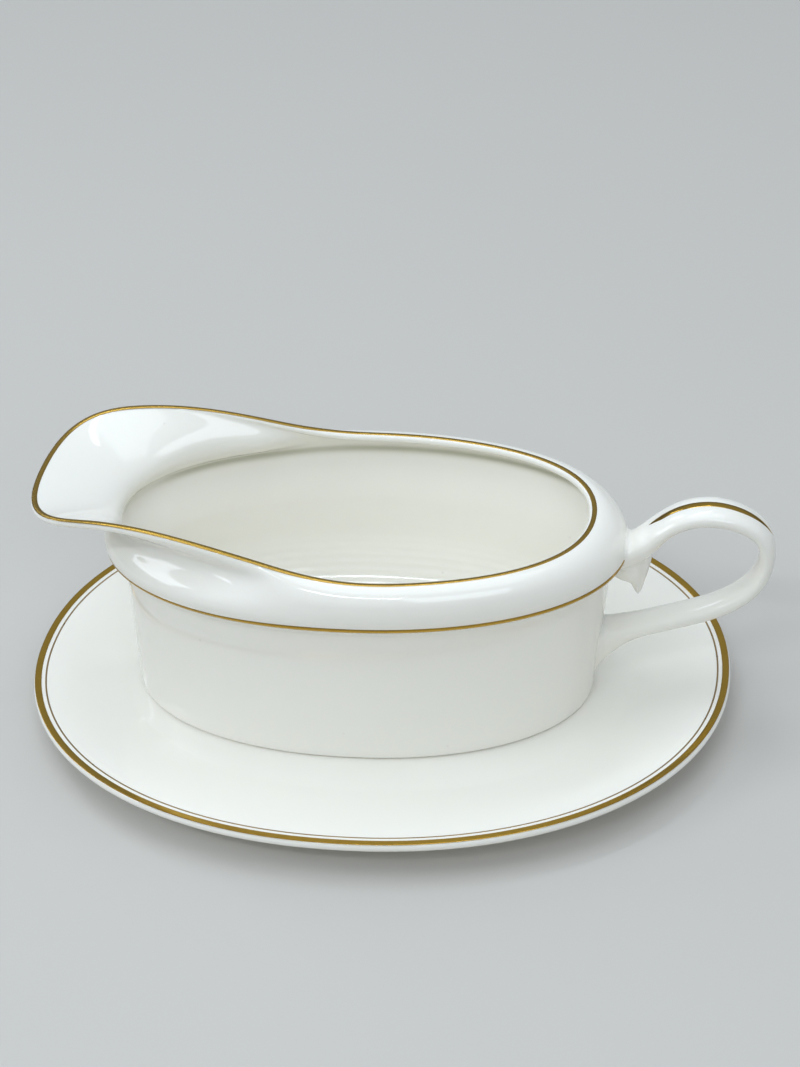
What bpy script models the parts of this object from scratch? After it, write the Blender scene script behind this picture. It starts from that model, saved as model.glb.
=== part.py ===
"""Gravy boat with its oval stand, in glazed bone china with fired gold lines.

Run with: blender --background --python part.py

+X runs from the pouring lip to the handle, +Z is up, and the stand's foot ring rests on z = 0.
The boat is a free piece that rests on the stand's well. Its handle is a separate casting
that is stuck on before firing, and each gold line is a separate layer on the glaze.
"""

import math

import bmesh
import bpy
import numpy as np
from mathutils import Vector

MM = 0.001
GAP = 0.3 * MM  # between solids that touch on the real object
SEGMENTS = 64  # around each oval
CENTRE_SHIFT = -6.0 * MM  # puts the middle of the whole length at x = 0

# Stand
STAND_CENTRE = 0.4 * MM
STAND_HALF_LENGTH = 110.0 * MM
STAND_HALF_WIDTH = 82.5 * MM
STAND_POWER = 2.11
STAND_RIM_HEIGHT = 13.1 * MM
STAND_THICKNESS = 3.0 * MM
STAND_EDGE_RADIUS = 1.5 * MM
WELL_HALF_LENGTH = 80.0 * MM
WELL_HALF_WIDTH = 53.6 * MM
WELL_HEIGHT = 6.0 * MM
FOOT_RING_INSET = 7.0 * MM  # from the well's edge to the middle of the foot ring
FOOT_RING_WIDTH = 4.0 * MM
FOOT_RECESS = 2.6 * MM  # underside of the well above the table
FOOT_RING_SLOPE = 0.6 * MM  # each side of the ring leans by this much
STAND_MIDDLE_INSET = 30.0 * MM  # last ring of the flat middle, inside the foot ring
EDGE_OVERHANG = 0.3 * MM  # of the rounded edge past the upper face

# Boat
BOAT_POWER = 2.12
FOOT_HALF_LENGTH = 72.8 * MM
FOOT_HALF_WIDTH = 41.0 * MM
FOOT_CENTRE = -4.0 * MM
FOOT_Z = WELL_HEIGHT + GAP
FOOT_ROUND = 0.8 * MM
BASE_RECESS = 1.2 * MM
BASE_RING_WIDTH = 3.5 * MM
BASE_RING_SLOPE = 0.5 * MM
BASE_MIDDLE_INSET = 30.0 * MM  # last ring of the flat base, inside the foot
WALL_TOP_HALF_LENGTH = 74.6 * MM
WALL_TOP_HALF_WIDTH = 40.4 * MM
WALL_TOP_Z = 53.5 * MM
SHOULDER_CENTRE = -0.4 * MM
SHOULDER_HALF_LENGTH = 79.1 * MM
SHOULDER_HALF_WIDTH = 43.9 * MM
SHOULDER_Z = 58.9 * MM
WALL_THICKNESS = 2.8 * MM
LIP_THICKNESS = 2.4 * MM
FLOOR_Z = FOOT_Z + 4.0 * MM
FLOOR_RADIUS = 9.0 * MM
CHANNEL_INSET = 5.0 * MM  # of the wall's inner top, where the shoulder's inside turns down
SHOULDER_LEAN = 1.6 * MM  # how far the shoulder bulges past its gold line
SHOULDER_RISE = 6.0 * MM
DOME_LEAD = 4.5 * MM  # how far outside the rim the dome starts to turn in
DOME_DROP = 0.8 * MM
THROAT_INSET = 4.5 * MM  # of the spout's throat, inside the shoulder line
THROAT_Z = 69.5 * MM
SPOUT_RISE = 9.0 * MM  # rim height gained where the dome has become the spout

# Half of the rim, seen as control points (x, half width, height) from the handle end to the
# lip: a level oval over the bowl, a narrower neck that climbs, and the blunt pouring lip.
RIM_POINTS = [
    (68.6, 0.0, 71.3),
    (68.6, 23.9, 71.3),
    (15.6, 40.4, 71.2),
    (-12.7, 35.2, 71.5),
    (-43.2, 33.5, 81.1),
    (-74.1, 30.2, 86.6),
    (-97.2, 27.6, 81.9),
    (-97.2, 0.0, 81.9),
]

# Middle line of the handle in the plane y = 0, as control points (x, z) from the shoulder
# round the loop and down to the wall.
HANDLE_POINTS = [
    (72.3, 56.7),
    (81.5, 58.1),
    (87.1, 67.0),
    (96.9, 73.6),
    (108.4, 73.4),
    (118.7, 67.3),
    (120.2, 57.7),
    (116.9, 47.0),
    (105.8, 38.0),
    (89.5, 32.8),
    (78.5, 28.6),
    (62.0, 26.0),
]
# Half width and half thickness of the strap at even steps along the middle line.
HANDLE_HALF_WIDTHS = [6.4, 6.3, 6.1, 5.7, 5.5, 5.4, 5.2, 5.4]
HANDLE_HALF_THICKNESSES = [4.4, 2.7, 2.9, 2.5, 2.4, 2.7, 3.0, 4.0]
HANDLE_POWER = 2.4
HANDLE_FLARE = 10.5 * MM  # added under the lower end where it meets the wall
HANDLE_FLARE_START = 0.76  # share of the middle line
HANDLE_STEPS = 44
HANDLE_SIDES = 16

# Pointed drop under the upper end of the handle: (height, nearest x, farthest x, half width)
SPUR_SECTIONS = [
    (61.5, 74.0, 86.5, 5.2),
    (56.0, 74.0, 86.2, 5.0),
    (50.5, 73.5, 85.0, 4.2),
    (47.0, 75.5, 84.0, 3.0),
    (44.4, 79.4, 83.2, 1.7),
    (42.6, 81.4, 82.6, 0.6),
]

# Gold
GOLD_THICKNESS = 0.3 * MM
RIM_GOLD_ARC = math.radians(62.0)  # each side of the top of the lip
SHOULDER_GOLD_WIDTH = 1.1 * MM
STAND_BAND_WIDTH = 2.1 * MM
STAND_LINE_INSET = 3.3 * MM
STAND_LINE_WIDTH = 0.6 * MM
HANDLE_GOLD_HALF_WIDTH = 1.0 * MM
HANDLE_GOLD_START = 0.135  # as shares of the strap's middle line
HANDLE_GOLD_END = 0.47

CHINA_COLOUR = (0.86, 0.87, 0.85, 1.0)
GOLD_COLOUR = (0.62, 0.42, 0.12, 1.0)
THIN_LINE_COLOUR = (0.45, 0.31, 0.13, 1.0)


def clear_scene():
    for item in list(bpy.data.objects):
        bpy.data.objects.remove(item, do_unlink=True)


def make_material(name, colour, roughness, metallic):
    material = bpy.data.materials.new(name)
    material.use_nodes = True
    shader = material.node_tree.nodes["Principled BSDF"]
    shader.inputs["Base Color"].default_value = colour
    shader.inputs["Roughness"].default_value = roughness
    shader.inputs["Metallic"].default_value = metallic
    material.diffuse_color = colour
    return material


def make_group(name):
    """Empty that carries one body's pieces. Its Z axis is the line that the boat is lifted along."""
    group = bpy.data.objects.new(name, None)
    bpy.context.scene.collection.objects.link(group)
    return group


def finish_object(name, bm, material, group):
    """Turns the faces outward, shades them smooth and links the object under its group."""
    if bm.calc_volume(signed=True) < 0:
        bmesh.ops.reverse_faces(bm, faces=bm.faces)
    mesh = bpy.data.meshes.new(name)
    bm.to_mesh(mesh)
    bm.free()
    mesh.shade_smooth()
    mesh.set_sharp_from_angle(angle=math.radians(40))
    mesh.materials.append(material)
    item = bpy.data.objects.new(name, mesh)
    item.parent = group
    bpy.context.scene.collection.objects.link(item)
    return item


def skin_rows(name, rows, material, group, joined=False):
    """One closed body from rows of points, each row a closed loop.

    The first and last rows are capped, or joined to each other to make a ring.
    """
    bm = bmesh.new()
    made = [[bm.verts.new(Vector(point)) for point in row] for row in rows]
    pairs = list(zip(made, made[1:] + made[:1])) if joined else list(zip(made, made[1:]))
    for lower, upper in pairs:
        for j in range(len(lower)):
            k = (j + 1) % len(lower)
            bm.faces.new((lower[j], lower[k], upper[k], upper[j]))
    if not joined:
        bm.faces.new(list(reversed(made[0])))
        bm.faces.new(made[-1])
    return finish_object(name, bm, material, group)


def smooth_step(value):
    value = np.clip(value, 0.0, 1.0)
    return value * value * (3.0 - 2.0 * value)


def bezier(points, shares):
    """Points of a cubic Bezier curve; each control point may hold one value per segment."""
    start, first, second, end = [np.asarray(point, float) for point in points]
    return [
        (1 - t) ** 3 * start + 3 * t * (1 - t) ** 2 * first + 3 * t * t * (1 - t) * second + t**3 * end
        for t in shares
    ]


def spline(points, shares):
    """Points of a clamped uniform cubic B-spline with these control points."""
    control = np.asarray(points, float)
    spans = len(control) - 3
    knots = np.concatenate([np.zeros(3), np.linspace(0.0, 1.0, spans + 1), np.ones(3)])
    found = []
    for share in shares:
        span = min(int(share * spans), spans - 1) + 3
        work = [control[span - 3 + i].copy() for i in range(4)]
        for level in range(1, 4):
            for i in range(3, level - 1, -1):
                low = knots[span - 3 + i]
                high = knots[span + 1 + i - level]
                part = (share - low) / (high - low)
                work[i] = (1.0 - part) * work[i - 1] + part * work[i]
        found.append(work[3])
    return np.array(found)


def oval(half_length, half_width, power, centre=0.0):
    """Plan points (x, y) of a superellipse, from +X round through +Y."""
    angle = np.linspace(0.0, 2.0 * math.pi, SEGMENTS, endpoint=False)
    cosine = np.cos(angle)
    sine = np.sin(angle)
    x = half_length * np.sign(cosine) * np.abs(cosine) ** (2.0 / power)
    y = half_width * np.sign(sine) * np.abs(sine) ** (2.0 / power)
    return np.column_stack([x + centre + CENTRE_SHIFT, y])


def plan_normals(plan):
    ahead = np.roll(plan, -1, axis=0) - np.roll(plan, 1, axis=0)
    outward = np.column_stack([ahead[:, 1], -ahead[:, 0]])
    return outward / np.linalg.norm(outward, axis=1)[:, None]


def level(plan, height):
    return np.column_stack([plan, np.broadcast_to(height, len(plan))])


def stand_plan(inset):
    """Plan of the stand at this distance in from its edge, easing from the rim's oval
    to the well's oval."""
    share = inset / (STAND_HALF_LENGTH - WELL_HALF_LENGTH)
    shrink_y = (STAND_HALF_WIDTH - WELL_HALF_WIDTH) * share
    half_length = STAND_HALF_LENGTH - inset
    return oval(half_length, STAND_HALF_WIDTH - shrink_y, STAND_POWER, STAND_CENTRE)


def stand_top_height(inset):
    """Height of the stand's upper face: a rim that rises gently and more steeply at the well."""
    share = np.clip(inset / (STAND_HALF_LENGTH - WELL_HALF_LENGTH), 0.0, 1.0)
    rise = 1.0 - 0.55 * share - 0.45 * smooth_step(share)
    return WELL_HEIGHT + (STAND_RIM_HEIGHT - WELL_HEIGHT) * rise


def build_stand(china, gold, thin_line, group):
    reach = STAND_HALF_LENGTH - WELL_HALF_LENGTH
    ring_middle = reach + FOOT_RING_INSET
    inner_foot = ring_middle + FOOT_RING_WIDTH / 2
    outer_foot = ring_middle - FOOT_RING_WIDTH / 2
    rows = [
        level(stand_plan(inner_foot + STAND_MIDDLE_INSET), FOOT_RECESS),
        level(stand_plan(inner_foot + FOOT_RING_SLOPE), FOOT_RECESS),
        level(stand_plan(inner_foot), 0.0),
        level(stand_plan(outer_foot), 0.0),
        level(stand_plan(outer_foot - FOOT_RING_SLOPE), FOOT_RECESS),
    ]
    for share in (1.0, 0.8, 0.6, 0.4, 0.2):
        inset = reach * share
        rows.append(level(stand_plan(inset), stand_top_height(inset) - STAND_THICKNESS))
    edge_height = STAND_RIM_HEIGHT - STAND_EDGE_RADIUS
    for turn in np.radians([-70.0, -35.0, 0.0, 35.0, 70.0]):
        inset = STAND_EDGE_RADIUS * (1.0 - math.cos(turn)) - EDGE_OVERHANG
        rows.append(level(stand_plan(inset), edge_height + STAND_EDGE_RADIUS * math.sin(turn)))
    for share in (0.07, 0.2, 0.4, 0.6, 0.8, 1.0):
        inset = reach * share
        rows.append(level(stand_plan(inset), stand_top_height(inset)))
    rows.append(level(stand_plan(inner_foot + STAND_MIDDLE_INSET), WELL_HEIGHT))
    skin_rows("stand_plate", rows, china, group)

    def strip(name, start, width, material):
        edges = (start, start + width / 2, start + width)
        low = [level(stand_plan(i), stand_top_height(i) + GAP) for i in edges]
        high = [level(stand_plan(i), stand_top_height(i) + GAP + GOLD_THICKNESS) for i in edges]
        skin_rows(name, high + low[::-1], material, group, joined=True)

    strip("stand_rim_band", 0.0, STAND_BAND_WIDTH, gold)
    strip("stand_inner_line", STAND_LINE_INSET, STAND_LINE_WIDTH, thin_line)


class BoatForm:
    """The boat's shape as rings that share one set of segments."""

    def __init__(self):
        self.shoulder = oval(
            SHOULDER_HALF_LENGTH, SHOULDER_HALF_WIDTH, BOAT_POWER, SHOULDER_CENTRE
        )
        self.normals = plan_normals(self.shoulder)
        self.wall_top = oval(
            WALL_TOP_HALF_LENGTH, WALL_TOP_HALF_WIDTH, BOAT_POWER, SHOULDER_CENTRE
        )
        self.foot = oval(FOOT_HALF_LENGTH, FOOT_HALF_WIDTH, BOAT_POWER, FOOT_CENTRE)
        self.reach, self.rim_height = self.rim_over_shoulder()

    def rim_over_shoulder(self):
        """How far out of the shoulder's plan the rim is, and its height, at each segment.

        Each segment meets the rim where its plan normal crosses it.
        """
        half = spline(RIM_POINTS, np.linspace(0.0, 1.0, 400)) * MM
        half[:, 0] += CENTRE_SHIFT
        mirror = half[::-1] * np.array([1.0, -1.0, 1.0])
        around = np.vstack([half, mirror[1:-1]])
        reach = np.empty(SEGMENTS)
        height = np.empty(SEGMENTS)
        for i, (point, normal) in enumerate(zip(self.shoulder, self.normals)):
            away = around[:, :2] - point
            along = away @ normal
            aside = away @ np.array([-normal[1], normal[0]])
            near = np.abs(along) < 30 * MM
            ahead = np.roll(aside, -1)
            crossing = near & (aside <= 0) & (ahead > 0)
            found = int(np.flatnonzero(crossing)[0])
            after = (found + 1) % len(around)
            part = -aside[found] / (ahead[found] - aside[found])
            reach[i] = along[found] * (1 - part) + along[after] * part
            height[i] = around[found, 2] * (1 - part) + around[after, 2] * part
        return reach, height

    def lip_profile(self, shares):
        """Middle surface from the shoulder to the rim, as (out, up) values at each segment."""
        lean = np.full(SEGMENTS, SHOULDER_LEAN - LIP_THICKNESS / 2)
        dome = np.array([self.reach + DOME_LEAD, self.rim_height - DOME_DROP])
        throat = np.array([np.full(SEGMENTS, -THROAT_INSET), np.full(SEGMENTS, THROAT_Z)])
        spout = smooth_step((self.rim_height - RIM_POINTS[0][2] * MM) / SPOUT_RISE)
        control = [
            np.array([np.full(SEGMENTS, -LIP_THICKNESS / 2), np.full(SEGMENTS, SHOULDER_Z)]),
            np.array([lean, np.full(SEGMENTS, SHOULDER_Z + SHOULDER_RISE)]),
            dome * (1 - spout) + throat * spout,
            np.array([self.reach, self.rim_height - LIP_THICKNESS / 2]),
        ]
        return bezier(control, shares)

    def place(self, out, up):
        return level(self.shoulder + self.normals * np.asarray(out)[:, None], up)

    def offset_profile(self, shares, offset):
        """Rows of the shoulder and spout surface at a distance from its middle surface."""
        step = 0.01
        rows = []
        for share in shares:
            here = self.lip_profile([share])[0]
            before, after = self.lip_profile([max(share - step, 0.0), min(share + step, 1.0)])
            run = after - before
            run /= np.linalg.norm(run, axis=0)
            rows.append(self.place(here[0] + run[1] * offset, here[1] - run[0] * offset))
        return rows

    def lip_rows(self, turns, radius):
        """Rows round the lip's edge, by angle from its top towards the outside."""
        middle = self.lip_profile([1.0])[0]
        run = middle - self.lip_profile([0.98])[0]
        run /= np.linalg.norm(run, axis=0)
        rows = []
        for turn in turns:
            out = run[0] * math.cos(turn) + run[1] * math.sin(turn)
            up = run[1] * math.cos(turn) - run[0] * math.sin(turn)
            rows.append(self.place(middle[0] + out * radius, middle[1] + up * radius))
        return rows

    def inner_oval(self, share, thickness):
        """Inside of the wall, at this share of the way from the foot up to the wall's top."""
        plan = self.foot * (1 - share) + self.wall_top * share
        return plan - plan_normals(plan) * thickness


def build_boat(form, china, gold, group):
    half_lip = LIP_THICKNESS / 2
    foot_normals = plan_normals(form.foot)
    ring_inside = form.foot - foot_normals * BASE_RING_WIDTH
    rows = [
        level(form.foot - foot_normals * BASE_MIDDLE_INSET, FOOT_Z + BASE_RECESS),
        level(ring_inside - foot_normals * BASE_RING_SLOPE, FOOT_Z + BASE_RECESS),
        level(ring_inside, FOOT_Z),
        level(form.foot - foot_normals * FOOT_ROUND, FOOT_Z),
        level(form.foot, FOOT_Z + FOOT_ROUND),
        level(form.wall_top, WALL_TOP_Z),
    ]
    drop = SHOULDER_Z - WALL_TOP_Z
    inset = form.wall_top - form.shoulder
    for turn in np.radians([30.0, 60.0]):
        under = form.shoulder + inset * math.cos(turn)
        rows.append(level(under, WALL_TOP_Z + drop * 0.75 * math.sin(turn)))
    rows.append(level(form.shoulder - form.normals * 0.7 * MM, SHOULDER_Z - 0.9 * MM))
    rows += form.offset_profile((0.02, 0.18, 0.34, 0.5, 0.66, 0.82, 0.97), half_lip)
    rows += form.lip_rows(np.radians([60.0, 20.0, -20.0, -60.0]), half_lip)
    rows += form.offset_profile((0.97, 0.78, 0.58, 0.38, 0.2, 0.06), -half_lip)
    rows.append(level(form.shoulder - form.normals * CHANNEL_INSET, SHOULDER_Z - 1.8 * MM))
    rows.append(level(form.inner_oval(1.0, WALL_THICKNESS), WALL_TOP_Z - 1.0 * MM))
    low_wall = (FLOOR_RADIUS + FLOOR_Z - FOOT_Z) / (WALL_TOP_Z - FOOT_Z)
    for turn in np.radians([0.0, 30.0, 60.0, 90.0]):
        plan = form.inner_oval(low_wall, WALL_THICKNESS + FLOOR_RADIUS * (1 - math.cos(turn)))
        rows.append(level(plan, FLOOR_Z + FLOOR_RADIUS * (1 - math.sin(turn))))
    rows.append(level(form.inner_oval(0.0, WALL_THICKNESS + BASE_MIDDLE_INSET), FLOOR_Z))
    skin_rows("boat_body", rows, china, group)

    arcs = np.linspace(-RIM_GOLD_ARC, RIM_GOLD_ARC, 5)
    outside = form.lip_rows(arcs, half_lip + GAP + GOLD_THICKNESS)
    inside = form.lip_rows(arcs[::-1], half_lip + GAP)
    skin_rows("boat_rim_gilding", outside + inside, gold, group, joined=True)

    corners = [(GAP, -1.0), (GAP + GOLD_THICKNESS, -1.0), (GAP + GOLD_THICKNESS, 1.0), (GAP, 1.0)]
    lift = 0.6 * MM
    band = [
        level(
            form.shoulder + form.normals * (out + 0.1 * MM),
            SHOULDER_Z + lift + side * SHOULDER_GOLD_WIDTH / 2,
        )
        for out, side in corners
    ]
    skin_rows("boat_shoulder_gilding", band, gold, group, joined=True)


def strap_frame(share):
    """Middle point, direction, half width and half thickness of the strap at this share."""
    step = 0.005
    ends = spline(HANDLE_POINTS, [max(share - step, 0.0), min(share + step, 1.0)])
    middle = spline(HANDLE_POINTS, [share])[0]
    run = (ends[1] - ends[0]) / np.linalg.norm(ends[1] - ends[0])
    steps = np.linspace(0.0, 1.0, len(HANDLE_HALF_WIDTHS))
    width = np.interp(share, steps, HANDLE_HALF_WIDTHS)
    thickness = np.interp(share, steps, HANDLE_HALF_THICKNESSES)
    return middle * MM, run, width * MM, thickness * MM


def strap_point(share, angle, lift=0.0):
    """Point on the strap's skin; angle 0 is the middle of its outer face."""
    middle, run, width, thickness = strap_frame(share)
    outward = np.array([-run[1], run[0]])
    cosine = math.cos(angle)
    sine = math.sin(angle)
    out = (thickness * abs(cosine) ** (2.0 / HANDLE_POWER) + lift) * math.copysign(1.0, cosine)
    flare = max(share - HANDLE_FLARE_START, 0.0) / (1.0 - HANDLE_FLARE_START)
    out += HANDLE_FLARE * flare**4 * max(cosine, 0.0)
    side = width * abs(sine) ** (2.0 / HANDLE_POWER) * math.copysign(1.0, sine)
    x = middle[0] + outward[0] * out + CENTRE_SHIFT
    return (x, side, middle[1] + outward[1] * out)


def boat_cutter(form, china, group):
    """The boat's outer form, which trims the handle's ends: grown by the gap on the wall, and
    by enough to clear the gold line on the shoulder."""
    clear = 2 * GAP + GOLD_THICKNESS + 0.2 * MM
    foot = form.foot + plan_normals(form.foot) * GAP
    wall_top = form.wall_top + plan_normals(form.wall_top) * GAP
    rows = [
        level(foot, FOOT_Z - 2 * MM),
        level(wall_top, WALL_TOP_Z),
        level(form.shoulder - form.normals * 1.5 * MM, SHOULDER_Z - 2.4 * MM),
        level(form.shoulder + form.normals * clear, SHOULDER_Z - 1.3 * MM),
    ]
    rows += form.offset_profile((0.02, 0.18, 0.34, 0.5, 0.66, 0.82, 0.97), LIP_THICKNESS / 2 + clear)
    cutter = skin_rows("handle_cutter", rows, china, group)
    cutter.hide_render = True
    cutter.display_type = "WIRE"
    return cutter


def build_handle(form, china, gold, group):
    angles = np.linspace(0.0, 2.0 * math.pi, HANDLE_SIDES, endpoint=False)
    rows = [
        [strap_point(share, angle) for angle in angles]
        for share in np.linspace(0.0, 1.0, HANDLE_STEPS + 1)
    ]
    handle = skin_rows("boat_handle", rows, china, group)
    spur_rows = []
    for height, near, far, half_width in SPUR_SECTIONS:
        middle = (near + far) / 2 * MM + CENTRE_SHIFT
        half = (far - near) / 2 * MM
        spur_rows.append(
            [
                (middle + half * math.cos(a), half_width * MM * math.sin(a), height * MM)
                for a in angles
            ]
        )
    spur = skin_rows("spur_core", spur_rows, china, group)
    spur.hide_render = True
    spur.display_type = "WIRE"
    join = handle.modifiers.new("join_spur", "BOOLEAN")
    join.operation = "UNION"
    join.object = spur
    trim = handle.modifiers.new("trim_to_boat", "BOOLEAN")
    trim.operation = "DIFFERENCE"
    trim.object = boat_cutter(form, china, group)

    shares = np.linspace(HANDLE_GOLD_START, HANDLE_GOLD_END, 22)
    strip = []
    for share in shares:
        place = (share - HANDLE_GOLD_START) / (HANDLE_GOLD_END - HANDLE_GOLD_START)
        swell = max(math.sin(math.pi * place**0.8) ** 0.6, 0.12)
        half_turn = HANDLE_GOLD_HALF_WIDTH * swell / strap_frame(share)[2]
        low = [strap_point(share, turn, GAP) for turn in (half_turn, 0.0, -half_turn)]
        high = [
            strap_point(share, turn, GAP + GOLD_THICKNESS) for turn in (-half_turn, 0.0, half_turn)
        ]
        strip.append(low + high)
    skin_rows("handle_gilding", strip, gold, group)


def main():
    clear_scene()
    china = make_material("bone_china", CHINA_COLOUR, 0.12, 0.0)
    gold = make_material("fired_gold", GOLD_COLOUR, 0.25, 1.0)
    thin_line = make_material("thin_gold_line", THIN_LINE_COLOUR, 0.35, 1.0)
    build_stand(china, gold, thin_line, make_group("stand_group"))
    form = BoatForm()
    boat = make_group("boat_group")
    build_boat(form, china, gold, boat)
    build_handle(form, china, gold, boat)


main()
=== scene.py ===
"""Looks of an oval gravy boat and its stand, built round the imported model.

The glazed china and the gold laid on it are fine meshes that stand for the model's plain
solids. The stand is spun by one Geometry Nodes tree, and every gold line is swept along its
own path on the china by another.
"""

from __future__ import annotations

import logging
import math
from dataclasses import dataclass
from enum import Enum
from typing import Any, Callable, Iterable, Mapping, Sequence

import bmesh
import bpy
import numpy as np
from mathutils import Matrix, Vector
from mathutils.bvhtree import BVHTree


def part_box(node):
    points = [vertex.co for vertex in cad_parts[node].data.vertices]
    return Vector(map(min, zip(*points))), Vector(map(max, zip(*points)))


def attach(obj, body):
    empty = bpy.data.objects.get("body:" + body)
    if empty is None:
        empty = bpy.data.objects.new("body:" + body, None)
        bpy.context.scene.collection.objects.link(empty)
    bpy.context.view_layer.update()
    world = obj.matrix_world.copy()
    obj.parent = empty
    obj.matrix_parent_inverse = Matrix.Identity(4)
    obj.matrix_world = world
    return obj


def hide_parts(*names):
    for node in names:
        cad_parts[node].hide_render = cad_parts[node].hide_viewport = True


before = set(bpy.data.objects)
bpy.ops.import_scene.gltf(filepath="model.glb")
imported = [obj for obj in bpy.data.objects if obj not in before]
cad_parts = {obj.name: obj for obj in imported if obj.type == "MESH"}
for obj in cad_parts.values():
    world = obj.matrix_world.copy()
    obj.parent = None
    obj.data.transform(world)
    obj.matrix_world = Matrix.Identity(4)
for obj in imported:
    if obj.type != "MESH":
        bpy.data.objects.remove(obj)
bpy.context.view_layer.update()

log = logging.getLogger("gravy_boat")

MM = 0.001
SEGMENTS = 256  # points round each oval
Colour = tuple[float, float, float]
Pair = tuple[float, float]
Triple = tuple[float, float, float]


class Body(Enum):
    """The two things that come apart."""

    STAND = "stand"
    BOAT = "boat"


class Slot(Enum):
    """The record's material slots."""

    CHINA = "china"
    GOLD = "gold"
    GOLD_LINE = "gold_line"


# ---------------------------------------------------------------- nodes


def operator(operation: str, reflected: bool = False) -> Callable[[Wire, Any], Wire]:
    """An operator of Wire, which adds one Math node.

    Args:
        operation: what the node does.
        reflected: whether the Wire is the second value.

    Returns:
        The method.
    """

    def method(wire: Wire, other: Any) -> Wire:
        """One Math node on these two values."""
        return wire.math_node(operation, *((other, wire) if reflected else (wire, other)))

    return method


class Wire:
    """An output socket whose arithmetic adds Math nodes to its own tree."""

    __add__ = __radd__ = operator("ADD")
    __mul__ = __rmul__ = operator("MULTIPLY")
    __sub__ = operator("SUBTRACT")
    __rsub__ = operator("SUBTRACT", reflected=True)
    __truediv__ = operator("DIVIDE")
    __rtruediv__ = operator("DIVIDE", reflected=True)
    __pow__ = operator("POWER")

    def __init__(self, canvas: Canvas, socket: bpy.types.NodeSocket | None) -> None:
        """Keeps the socket and the canvas that it is drawn on.

        Args:
            canvas: where new Math nodes go.
            socket: the output that this stands for, if the node has one.
        """
        self.canvas = canvas
        self.socket = socket

    def math_node(self, operation: str, *values: Any) -> Wire:
        """One Math node of this operation on these values, in order."""
        return self.canvas.node("ShaderNodeMath", {"operation": operation}, dict(enumerate(values)))

    def apply(self, operation: str, *others: Any) -> Wire:
        """A Math node on this value, and on others where it takes more than one."""
        return self.math_node(operation, self, *others)

    def out(self, name: str) -> Wire:
        """Another output of the same node."""
        return Wire(self.canvas, self.socket.node.outputs[name])


class Canvas:
    """Draws nodes in one tree."""

    def __init__(self, tree: bpy.types.NodeTree) -> None:
        """Keeps the tree.

        Args:
            tree: a shader tree or a geometry tree.
        """
        self.tree = tree

    def node(
        self,
        kind: str,
        settings: Mapping[str, Any] | None = None,
        inputs: Mapping[int | str, Any] | None = None,
        output: int | str = 0,
    ) -> Wire:
        """Adds a node, sets it up and wires it.

        Args:
            kind: the node's type.
            settings: its own settings, set first; "stops" fills a colour ramp.
            inputs: a value or a Wire for each socket, by name or place.
            output: which output the result stands for.

        Returns:
            The chosen output.
        """
        made = self.tree.nodes.new(kind)
        for name, value in (settings or {}).items():
            if name == "stops":
                self._fill_ramp(made.color_ramp, value)
            else:
                setattr(made, name, value)
        for name, value in (inputs or {}).items():
            if isinstance(value, Wire):
                self.tree.links.new(value.socket, made.inputs[name])
            else:
                made.inputs[name].default_value = value
        return Wire(self, made.outputs[output] if made.outputs else None)

    @staticmethod
    def _fill_ramp(ramp: bpy.types.ColorRamp, stops: Sequence[tuple[float, Colour]]) -> None:
        """Gives a colour ramp these stops, first to last."""
        while len(ramp.elements) < len(stops):
            ramp.elements.new(1.0)
        for element, (place, colour) in zip(ramp.elements, stops):
            element.position = place
            element.color = (*colour, 1.0)

    def mix(self, share: Any, first: Any, second: Any) -> Wire:
        """A blend of two colours.

        Args:
            share: how much of the second colour.
            first: a colour or a Wire.
            second: a colour or a Wire.

        Returns:
            The blended colour.
        """
        ends = [c if isinstance(c, Wire) else (*c, 1.0) for c in (first, second)]
        return self.node("ShaderNodeMix", {"data_type": "RGBA"}, {0: share, 6: ends[0], 7: ends[1]}, 2)

    def remap(self, value: Wire, start: float, end: float, falls: bool = False) -> Wire:
        """Goes from 0 to 1 as a value goes from start to end, or from 1 to 0 if it falls."""
        low, high = (1.0, 0.0) if falls else (0.0, 1.0)
        return self.node("ShaderNodeMapRange", {}, {0: value, 1: start, 2: end, 3: low, 4: high})

    def noise(self, place: Wire, per_metre: float, detail: float = 2.0) -> Wire:
        """Soft noise from 0 to 1.

        Args:
            place: coordinates in metres.
            per_metre: how many lumps in a metre.
            detail: how many finer layers.

        Returns:
            The noise value.
        """
        inputs = {"Vector": place, "Scale": per_metre, "Detail": detail}
        return self.node("ShaderNodeTexNoise", {}, inputs)

    def stretch(self, place: Wire, scale: Triple) -> Wire:
        """These coordinates scaled along each axis, for a pattern that runs one way."""
        return self.node("ShaderNodeMapping", {}, {"Vector": place, "Scale": scale})


def shader_canvas(name: str) -> tuple[bpy.types.Material, Canvas, bpy.types.Node]:
    """A new material with an empty Principled shader.

    Args:
        name: the material's name.

    Returns:
        The material, its canvas and its Principled node.
    """
    material = bpy.data.materials.new(name)
    material.use_nodes = True
    shader = material.node_tree.nodes["Principled BSDF"]
    return material, Canvas(material.node_tree), shader


def set_shader(shader: bpy.types.Node, constants: Mapping[str, Any], wires: Mapping[str, Wire]) -> None:
    """Sets a Principled shader's plain sockets and links its patterned ones.

    Args:
        shader: the Principled node.
        constants: a value for each plain socket.
        wires: what each patterned socket is linked to.
    """
    for name, value in constants.items():
        shader.inputs[name].default_value = value
    for name, wire in wires.items():
        wire.canvas.tree.links.new(wire.socket, shader.inputs[name])


# ---------------------------------------------------------------- finishes


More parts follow.
